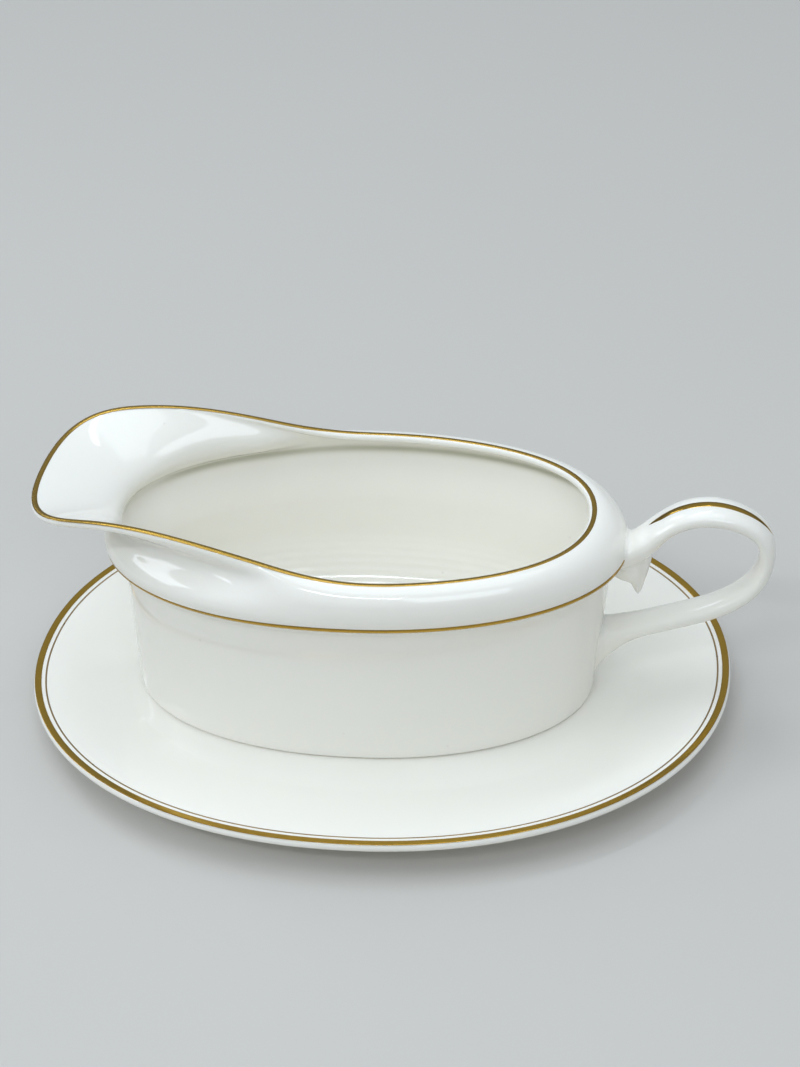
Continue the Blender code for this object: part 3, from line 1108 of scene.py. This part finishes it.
    def offset(self, share: Any, distance: float) -> np.ndarray:
        """The (out, up) values at a distance outside the middle surface.

    Args:
        share: how far up from the shoulder to the rim, alone or at each segment.
        distance: how far outside, or inside if negative.

    Returns:
        The values at each segment.
    """
        after = np.minimum(share + self.share_step, 1.0)
        before = np.maximum(share - self.share_step, 0.0)
        run = self.profile(after) - self.profile(before)
        run /= np.linalg.norm(run, axis=0)
        return self.profile(share) + np.array([run[1], -run[0]]) * distance

    def _rim_run(self) -> np.ndarray:
        """Unit (out, up) way that the middle surface runs as it meets the rim."""
        run = self.profile(1.0) - self.profile(1.0 - self.share_step)
        return run / np.linalg.norm(run, axis=0)

    def lip_edge(self, turn: float) -> np.ndarray:
        """The (out, up) values round the lip's edge, by angle from its top outwards.

    Args:
        turn: the angle.

    Returns:
        The values at each segment.
    """
        run = self._rim_run()
        side = np.array([run[1], -run[0]])
        return self.profile(1.0) + (run * np.cos(turn) + side * np.sin(turn)) * self.lip / 2

    def crown(self) -> np.ndarray:
        """The (out, up) values along the top of the rim, where its gold lies.

    Returns:
        The values at each segment.
    """
        flat = np.clip(-self._rim_run()[0], 0.0, 1.0) ** self.rim_flat_power
        lift = self.lip / 2 + self.rim_gold_lift
        return self.profile(1.0) + np.array([self.rim_gold_shift * flat, np.full(SEGMENTS, lift)])

    def wall_inside(self, share: float, thickness: float) -> np.ndarray:
        """Plan of the wall's inside at this share of the way up.

    Args:
        share: how far up, from the foot to the wall's top.
        thickness: how far in from the outside.

    Returns:
        The plan.
    """
        low, high = self.foot_size, self.wall_top_size
        size = [low[i] * (1 - share) + high[i] * share - thickness for i in (0, 1)]
        return self._oval(size, self.foot_offset * (1 - share) + self.shoulder_offset * share)

    def outside_rows(self) -> list[np.ndarray]:
        """Rows of the outer surface, from the foot's rounding up to the lip.

    Returns:
        The rows.
    """
        rows = []
        normals = plan_normals(self.foot)
        for turn in np.radians(np.arange(0.0, 91.0, 15.0)):
            inset = self.foot_round * (1 - math.sin(turn))
            height = self.foot_z + self.foot_round * (1 - math.cos(turn))
            rows.append(level(self.foot - normals * inset, height))
        low = self.foot_z + self.foot_round
        for share in np.linspace(0.0, 1.0, self.wall_rows)[1:]:
            plan = self.foot * (1 - share) + self.wall_top * share
            rows.append(level(plan, low + (self.wall_top_z - low) * share))
        gap = self.wall_top - self.shoulder
        edge = self.shoulder_edge
        under = self.shoulder_z - edge - self.wall_top_z
        reach = 1.0 - edge / np.linalg.norm(gap, axis=1)[:, None]
        for turn in np.radians(np.arange(15.0, 91.0, 15.0)):
            plan = self.shoulder + gap * (1.0 - reach * (1.0 - math.cos(turn)))
            rows.append(level(plan, self.wall_top_z + under * math.sin(turn)))
        for turn in np.radians((20.0, 42.0, 62.0)):
            inset = edge * (1 - math.sin(turn))
            height = self.shoulder_z - edge * math.cos(turn)
            rows.append(level(self.shoulder - self.normals * inset, height))
        for share in np.linspace(0.0, self.lip_share, self.dome_rows):
            rows.append(self.place(self.offset(share, self.lip / 2)))
        return rows

    def inside_rows(self) -> list[np.ndarray]:
        """Rows of the inner surface, from the lip down to the floor.

    Returns:
        The rows.
    """
        above_crease = self.lip_share - self.crease
        parts = np.linspace(1.0, 0.0, self.inner_dome_rows)
        shares = [self.crease + above_crease * part for part in parts]
        rows = [self.place(self.offset(share, -self.lip / 2)) for share in shares]
        low_share = (self.floor_radius + self.floor_rise) / (self.wall_top_z - self.foot_z)
        top_share = self.ledge_share
        rise = self.wall_top_z - self.foot_z
        low, high = (self.foot_z + rise * share for share in (low_share, top_share))
        run = rows[-1] - rows[-2]
        run /= np.linalg.norm(run, axis=1)[:, None]
        above = self.wall_inside(top_share, self.wall - self.ledge_inset)
        ledge = (
            rows[-1],
            rows[-1] + run * self.crease_reach,
            level(above, high + self.ledge_height),
            level(self.wall_inside(top_share, self.wall), high),
        )
        shares = np.linspace(0.0, 1.0, self.ledge_rows)[1:] ** self.crease_bunching
        rows += [bezier(ledge, share) for share in shares]
        for share in np.linspace(1.0, 0.0, self.inner_wall_rows)[1:]:
            up = low_share + (top_share - low_share) * share
            rows.append(level(self.wall_inside(up, self.wall), low + (high - low) * share))
        for turn in np.radians(np.arange(1.5, 90.1, 1.5)):
            radius = self.floor_radius + self._tool_ring(turn * self.floor_radius)
            inset = self.wall + self.floor_radius - radius * math.cos(turn)
            rise = self.floor_rise + self.floor_radius - radius * math.sin(turn)
            rows.append(level(self.wall_inside(low_share, inset), self.foot_z + rise))
        narrow = self.wall_inside(low_share, self.wall + self.floor_radius)
        middle = np.array([self.middle + self.foot_offset, 0.0])
        for share in (0.9, 0.75, 0.55, 0.3, 0.12):
            rows.append(level(middle + (narrow - middle) * share, self.foot_z + self.floor_rise))
        return rows

    def _tool_ring(self, along: float) -> float:
        """Height of the faint rings that the shaping tool leaves below the wall.

        Args:
            along: how far down the curve from the wall to the floor.

        Returns:
            How far the china is cut back there.
        """
        fade = math.exp(-(((along - self.ring_middle) / self.ring_spread) ** 2))
        return self.ring_height * fade * math.cos(2 * math.pi * along / self.ring_pitch)

    def _painted_crease_shade(self, rows: Sequence[np.ndarray]) -> np.ndarray:
        """How much shade is painted at each point of these rows: most along the crease, which lies in
        the lip's shadow, and less towards the pouring lip.

        Args:
            rows: rows of the inner surface.

        Returns:
            A share from 0 to 1 at each point of each row.
        """
        corner = self.offset(self.crease, -self.lip / 2) + np.array(self.crease_shade_place)[:, None]
        away = np.linalg.norm(np.array(rows) - self.place(corner), axis=2)
        fade = 1.0 - self.crease_shade_fade * smooth_step(self.reach / self.crease_shade_fade_reach)
        return np.exp(-((away / self.crease_shade_spread) ** 2)) * fade

    def base_rows(self) -> list[np.ndarray]:
        """Rows of the underside, from its middle out to the standing ring.

    Returns:
        The rows.
    """
        normals = plan_normals(self.foot)
        high = self.foot_z + self.base_recess
        rows = [level(self.foot - normals * inset, high) for inset in self.base_insets]
        for inset, rise in self.base_corner:
            plan = self.foot - normals * (self.base_ring_width + inset * MM)
            rows.append(level(plan, self.foot_z + self.base_recess * rise))
        return rows

    def _gild_row(self, shop: Workshop, line: GoldLine, here: np.ndarray, ahead: np.ndarray) -> None:
        """Lays gold along one row; "ahead" is a row a little further along the outside."""
        row = self.place(here)
        shop.gild(line, GoldPath.along_row(row, self.place(ahead) - row), Body.BOAT)

    def build(self, shop: Workshop) -> bpy.types.Object:
        """Makes the china and its two gold lines.

        Returns:
            The outer form alone, closed over the top, for the handle to be fitted to. It is not
            a piece.
        """
        outside = self.outside_rows()
        lip = [self.place(self.lip_edge(turn)) for turn in np.radians(np.arange(84, -85, -12))]
        poles = (
            (self.middle + self.foot_offset, 0.0, self.foot_z + self.base_recess),
            (self.middle + self.foot_offset, 0.0, self.foot_z + self.floor_rise),
        )
        rows = self.base_rows() + outside + lip
        inside = self.inside_rows()
        body = skin("china_boat", rows + inside, poles)
        # The painted crease shade, kept on the inner surface's points for the china's material.
        crease_shade = np.zeros(len(body.data.vertices), np.float32)
        crease_shade[len(rows) * SEGMENTS : -len(poles)] = self._painted_crease_shade(inside).ravel()
        body.data.attributes.new("painted_crease_shade", "FLOAT", "POINT").data.foreach_set("value", crease_shade)
        dress(body, shop.china)
        shop.hand_over(body, Body.BOAT, "boat_body")
        sizes = (self.rim_gold_width, self.rim_gold_film, self.rim_gold_bend, RIM_GOLD)
        crown = self.crown()
        inward = crown - np.array([[0.02 * MM], [0.0]])
        self._gild_row(shop, GoldLine("lip_gold", "boat_rim_gilding", *sizes), crown, inward)
        sizes = (self.shoulder_gold_width, self.shoulder_gold_film, self.shoulder_gold_bend)
        share = self.shoulder_gold_rise / (5 * (self.control[1] - self.control[0])[1])
        here, above = [self.offset(place, self.lip / 2) for place in (share, share + 0.01)]
        self._gild_row(shop, GoldLine("shoulder_gold", "boat_shoulder_gilding", *sizes), here, above)
        closing = ((self.middle, 0.0, self.foot_z), (self.middle, 0.0, self.shoulder_z))
        return skin("boat_form", outside, closing)


# ---------------------------------------------------------------- handle


@dataclass
class Handle:
    """The loop handle: a strap with a pointed drop under its root, run onto the wall."""

    middle: float
    power: float = 2.4
    flare: float = 18.0 * MM
    flare_start: float = 0.90
    flare_power: float = 3.2
    steps: int = 220
    sides: int = 56
    voxel: float = 0.42 * MM
    sponging: float = 0.5
    sponge_rounds: int = 14
    fillet: float = 1.7 * MM
    fillet_least_slide: float = 0.2  # faces that look straight at the boat aren't spread
    root_depth: float = 1.0 * MM
    free_from: float = 83.0 * MM  # past here the handle is clear of the boat
    gold_start: float = 0.11
    gold_end: float = 0.47
    gold_width: float = 2.7 * MM
    gold_film: float = 0.15 * MM
    gold_bend: float = 7.0 * MM
    # How the stripe opens at its start and closes at its end: over what share of it, and a power.
    gold_opening: Pair = (0.10, 0.6)
    gold_closing: Pair = (0.3, 0.5)
    gold_least: float = 0.1
    half_widths: tuple[float, ...] = (6.4, 6.3, 6.1, 5.7, 5.5, 5.4, 5.2, 5.4)
    half_thicknesses: tuple[float, ...] = (4.4, 2.7, 2.9, 2.5, 2.4, 2.7, 2.6, 2.6)
    # The strap's middle line, in mm: how far from the boat's middle and how high.
    line: tuple[Pair, ...] = (
        (72.3, 56.7),
        (81.5, 58.1),
        (87.1, 67.0),
        (96.9, 73.6),
        (108.4, 73.4),
        (118.7, 67.3),
        (120.2, 57.7),
        (116.9, 47.0),
        (105.8, 38.0),
        (89.5, 32.8),
        (78.5, 28.6),
        (62.0, 26.0),
    )
    # Sections of the drop, downwards: height, nearest x, farthest x and half width.
    drop: tuple[tuple[float, float, float, float], ...] = (
        (61.5, 74.0, 86.5, 5.2),
        (56.0, 74.0, 86.2, 5.0),
        (51.0, 73.5, 85.0, 4.3),
        (49.4, 74.0, 84.7, 4.0),
        (48.4, 78.6, 84.3, 3.5),
        (46.4, 79.9, 83.9, 2.6),
        (44.0, 80.7, 83.3, 1.6),
        (42.0, 81.5, 82.6, 0.6),
    )

    def strap_point(self, share: float, angle: float) -> Triple:
        """A point on the strap's skin; angle 0 is the middle of its outer face.

        Args:
            share: how far along the strap's middle line.
            angle: how far round its section.

        Returns:
            The point.
        """
        step = 0.002
        ends = spline(self.line, (max(share - step, 0.0), min(share + step, 1.0), share)) * MM
        run = (ends[1] - ends[0]) / np.linalg.norm(ends[1] - ends[0])
        outward = np.array([-run[1], run[0]])
        places = np.linspace(0.0, 1.0, len(self.half_widths))
        width = np.interp(share, places, self.half_widths) * MM
        thickness = np.interp(share, places, self.half_thicknesses) * MM
        cosine, sine = math.cos(angle), math.sin(angle)
        out = thickness * math.copysign(abs(cosine) ** (2.0 / self.power), cosine)
        flare = max(share - self.flare_start, 0.0) / (1.0 - self.flare_start)
        out += self.flare * flare**self.flare_power * max(cosine, 0.0)
        side = width * math.copysign(abs(sine) ** (2.0 / self.power), sine)
        x, z = ends[2] + outward * out
        return (x + self.middle, side, z)

    @staticmethod
    def _capped(name: str, rows: Sequence[np.ndarray]) -> bpy.types.Object:
        """A skin through these rows, closed at the middle of its first and last."""
        return skin(name, rows, (tuple(rows[0].mean(axis=0)), tuple(rows[-1].mean(axis=0))))

    def _rough(self) -> bpy.types.Object:
        """The strap and its drop as one plain lump, before they are worked together.

    Returns:
        The lump.
    """
        angles = np.linspace(0.0, 2.0 * math.pi, self.sides, endpoint=False)
        rows = [
            np.array([self.strap_point(share, angle) for angle in angles])
            for share in np.linspace(0.0, 1.0, self.steps)
        ]
        strap = self._capped("strap", rows)
        sizes = spline(self.drop, np.linspace(0.0, 1.0, 40)) * MM
        rows = [
            np.column_stack(
                [
                    (near + far) / 2 + self.middle + (far - near) / 2 * np.cos(angles),
                    half_width * np.sin(angles),
                    np.full(len(angles), height),
                ]
            )
            for height, near, far, half_width in sizes
        ]
        drop = self._capped("drop", rows)
        lump = bmesh.new()
        for item in (strap, drop):
            lump.from_mesh(item.data)
            bpy.data.objects.remove(item, do_unlink=True)
        mesh = bpy.data.meshes.new("handle_lump")
        lump.to_mesh(mesh)
        lump.free()
        return link_mesh("handle_lump", mesh)

    def _work_together(self, lump: bpy.types.Object) -> bpy.types.Object:
        """Blends the lump into one smooth closed skin.

    Args:
        lump: the strap and its drop, which is used up.

    Returns:
        The skin.
    """
        remesh = lump.modifiers.new("blend", "REMESH")
        remesh.mode = "VOXEL"
        remesh.voxel_size = self.voxel
        smooth = lump.modifiers.new("sponge", "SMOOTH")
        smooth.factor = self.sponging
        smooth.iterations = self.sponge_rounds
        return evaluated_copy(lump, "china_handle")

    def _stick_on(self, handle: bpy.types.Object, outside: bpy.types.Object) -> None:
        """Runs the ends onto the boat with a small fillet, and stops them inside its wall.

        Args:
            handle: the handle's skin.
            outside: the boat's outer form.
        """
        wall = surface_of(outside)
        places = []
        for vertex in handle.data.vertices:
            point, normal, _, away = wall.find_nearest(vertex.co)
            free = vertex.co.x - self.middle > self.free_from
            inside = not free and (vertex.co - point).dot(normal) < -0.5 * away
            height = -away if inside else away
            place = vertex.co.copy()
            if height < self.fillet:
                short = self.fillet - max(height, 0.0)
                spread = self.fillet - math.sqrt(max(self.fillet**2 - short**2, 0.0))
                along = vertex.normal - normal * vertex.normal.dot(normal)
                if along.length > self.fillet_least_slide:
                    place += along.normalized() * spread
                if height < -self.root_depth:
                    place -= normal * (height + self.root_depth)
            places.extend(place)
        handle.data.vertices.foreach_set("co", places)
        handle.data.update()

    def _gold_path(self, handle: bpy.types.Object) -> GoldPath:
        """The stripe's path along the crown of the finished handle, pointed at its start.

    Args:
        handle: the handle's skin.

    Returns:
        The path.
    """
        face = surface_of(handle)
        points, outward, swell = [], [], []
        for part in np.linspace(0.0, 1.0, 90):
            share = self.gold_start + (self.gold_end - self.gold_start) * part
            point, normal, _, _ = face.find_nearest(Vector(self.strap_point(share, 0.0)))
            points.append((point.x, 0.0, point.z))
            outward.append((normal.x, 0.0, normal.z))
            opened = min(part / self.gold_opening[0], 1.0) ** self.gold_opening[1]
            left = min((1.0 - part) / self.gold_closing[0], 1.0) ** self.gold_closing[1]
            swell.append(max(opened * left, self.gold_least))
        return GoldPath(np.array(points), np.array(outward), np.array(swell), False)

    def build(self, shop: Workshop, outside: bpy.types.Object) -> None:
        """Makes the handle and its gold stripe.

        Args:
            shop: the shared trees and finishes.
            outside: the boat's outer form, which is removed when the handle fits it.
        """
        handle = self._work_together(self._rough())
        self._stick_on(handle, outside)
        bpy.data.objects.remove(outside, do_unlink=True)
        dress(handle, shop.china)
        sizes = (self.gold_width, self.gold_film, self.gold_bend)
        stripe = GoldLine("handle_gold", "handle_gilding", *sizes)
        shop.gild(stripe, self._gold_path(handle), Body.BOAT)
        shop.hand_over(handle, Body.BOAT, "boat_handle")


# ---------------------------------------------------------------- studio


@dataclass(frozen=True)
class SoftLight:
    """A flat soft light that looks at the object."""

    name: str
    place: Triple
    size: Pair
    watts: float

    def build(self, target: Vector, colour: Colour) -> None:
        """Makes the light.

        Args:
            target: the point that it faces.
            colour: its tint.
        """
        data = bpy.data.lights.new(self.name, "AREA")
        data.shape = "RECTANGLE"
        data.size, data.size_y = self.size
        data.energy = self.watts
        data.color = colour
        item = put_in_scene(self.name, data)
        item.location = self.place
        item.rotation_mode = "QUATERNION"
        item.rotation_quaternion = (target - Vector(self.place)).to_track_quat("-Z", "Y")


@dataclass
class Studio:
    """Pale floor, soft light and the camera."""

    floor_radius: float = 4.0
    floor_colour: Colour = (0.600, 0.578, 0.532)
    floor_shade: float = 0.97
    floor_clouds_per_metre: float = 5.0
    look_at: Triple = (0.0, 0.0, 0.04)
    light_colour: Colour = (0.92, 1.0, 1.10)
    world_strength: float = 0.50
    # The room's tones, from the horizon (0) to straight up (1).
    tones: tuple[Pair, ...] = (
        (0.0, 0.32),
        (0.13, 0.42),
        (0.36, 0.78),
        (0.62, 0.98),
        (1.0, 1.12),
    )
    room_shade: float = 0.9  # how dim the room is behind the camera, near the horizon
    shade_colour: Colour = (0.03, 0.03, 0.03)
    camera_place: Triple = (0.09151, -0.44878, 0.40423)
    camera_turn: float = 10.948  # degrees to the left of +Y
    camera_pitch: float = 36.877  # degrees below the horizon
    camera_roll: float = -4.547
    lens: float = 64.1
    lights: tuple[SoftLight, ...] = (
        SoftLight("window", (-1.35, -0.35, 0.95), (0.7, 0.5), 4.4),
        SoftLight("fill", (0.55, -1.35, 1.30), (0.9, 0.7), 5.2),
        SoftLight("ceiling", (0.0, 0.0, 1.9), (1.6, 1.3), 8.6),
        SoftLight("window_gap", (-0.30, 0.42, 1.40), (1.0, 0.09), 2.0),
        SoftLight("near_lamp", (-0.20, -0.90, 1.20), (0.5, 0.03), 2.2),
        SoftLight("far_window", (-0.9, 0.75, 1.0), (0.16, 0.5), 1.0),
    )

    def _floor(self) -> None:
        """A wide pale disc that is not part of the object."""
        angles = np.linspace(0.0, 2.0 * math.pi, 96, endpoint=False)
        points = np.column_stack([np.cos(angles), np.sin(angles), 0.0 * angles]) * self.floor_radius
        mesh = bpy.data.meshes.new("floor")
        mesh.from_pydata(points.tolist(), [], [list(range(len(points)))])
        floor = put_in_scene("floor", mesh)
        material, canvas, shader = shader_canvas("pale_floor")
        place = canvas.node("ShaderNodeTexCoord", output="Object")
        tone = canvas.noise(place, self.floor_clouds_per_metre, 3.0)
        darker = tuple(c * self.floor_shade for c in self.floor_colour)
        colour = canvas.mix(tone, self.floor_colour, darker)
        set_shader(shader, {"Roughness": 0.55, "Specular IOR Level": 0.25}, {"Base Color": colour})
        mesh.materials.append(material)

    def _world(self) -> None:
        """Even pale light, with the dim side of a room near the horizon on one side."""
        world = bpy.data.worlds.new("studio")
        world.use_nodes = True
        canvas = Canvas(world.node_tree)
        way = canvas.node("ShaderNodeTexCoord", output="Generated")
        parts = canvas.node("ShaderNodeSeparateXYZ", {}, {0: way})
        height = parts.out("Z")
        stops = [(place, tuple(tone * c for c in self.light_colour)) for place, tone in self.tones]
        ramp = canvas.node("ShaderNodeValToRGB", {"stops": stops}, {0: height})
        low = canvas.remap(height, 0.12, 0.42, falls=True)
        front = canvas.remap(parts.out("Y"), -0.6, -0.95)
        dimmed = canvas.mix(low * front * self.room_shade, ramp, self.shade_colour)
        background = world.node_tree.nodes["Background"]
        world.node_tree.links.new(dimmed.socket, background.inputs["Color"])
        background.inputs["Strength"].default_value = self.world_strength
        bpy.context.scene.world = world

    def _camera(self) -> None:
        """The camera at its viewing angle."""
        turn, pitch, roll = (
            math.radians(a) for a in (self.camera_turn, self.camera_pitch, self.camera_roll)
        )
        right = Vector((math.cos(turn), math.sin(turn), 0.0))
        ahead = Vector((-math.sin(turn), math.cos(turn), 0.0))
        ahead = ahead * math.cos(pitch) - Vector((0.0, 0.0, 1.0)) * math.sin(pitch)
        up = right.cross(ahead)
        side = right * math.cos(roll) + up * math.sin(roll)
        above = up * math.cos(roll) - right * math.sin(roll)
        data = bpy.data.cameras.new("camera")
        data.lens = self.lens
        data.sensor_width = 36.0
        data.clip_start = 0.01
        camera = put_in_scene("camera", data)
        turned = Matrix((side, above, -ahead)).transposed()
        camera.matrix_world = Matrix.LocRotScale(Vector(self.camera_place), turned, None)
        bpy.context.scene.camera = camera

    def build(self) -> None:
        """Makes everything that isn't the object."""
        self._floor()
        self._world()
        self._camera()
        for light in self.lights:
            light.build(Vector(self.look_at), self.light_colour)
        bpy.context.scene.view_settings.view_transform = "Standard"


def main() -> None:
    """Builds the stand, the boat, its handle and the studio."""
    logging.basicConfig(level=logging.INFO, format="%(name)s %(message)s")
    shop = Workshop()
    stand = Stand.from_frame()
    stand.build(shop)
    boat = Boat.from_frame(stand)
    outside = boat.build(shop)
    Handle(boat.middle).build(shop, outside)
    Studio().build()


if __name__ == "__main__":
    main()
